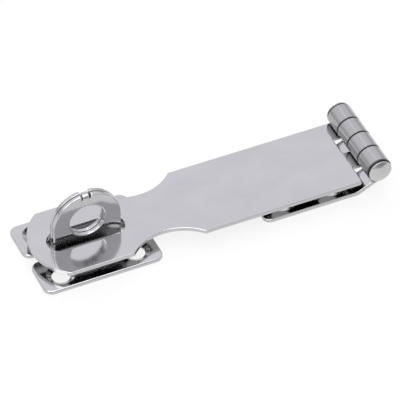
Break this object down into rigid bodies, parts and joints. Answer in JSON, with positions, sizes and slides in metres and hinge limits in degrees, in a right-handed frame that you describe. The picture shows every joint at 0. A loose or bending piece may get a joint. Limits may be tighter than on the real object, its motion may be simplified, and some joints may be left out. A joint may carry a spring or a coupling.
{
  "type": "hasp and staple",
  "caption": "Hinged hasp strap with a slot that closes over a folded round-eyed staple, to be padlocked; polished stainless sheet with countersunk screw holes.",
  "frame": {"origin": "centre of the hinge leaf's four screw holes, on the mounting plane against the door", "axes": "+X towards the hinge pin, +Y along the pin, +Z away from the door"},
  "size_m": [0.1218, 0.0344, 0.0233],
  "materials": {
    "leaf_steel": "polished stainless steel with a fine grain",
    "strap_steel": "mirror-polished stainless steel",
    "pin_steel": "satin stainless steel, polished crown",
    "staple_steel": "polished stainless steel with faint forming marks"
  },
  "bodies": {
    "leaf": {"hinge_leaf": "leaf_steel", "hinge_pin": "pin_steel"},
    "strap": {"hasp_strap": "strap_steel"},
    "staple_plate": {"staple": "staple_steel"}
  },
  "joints": [
    {"name": "strap_hinge", "type": "hinge", "parent": "leaf", "child": "strap", "pos_m": [0.0235, 0, 0.0085], "axis": [0, 1, 0], "range_deg": [0, 180]},
    {"name": "staple_release", "type": "slide", "parent": "leaf", "child": "staple_plate", "axis": [0, 0, -1], "range_m": [0, 0.03]}
  ]
}
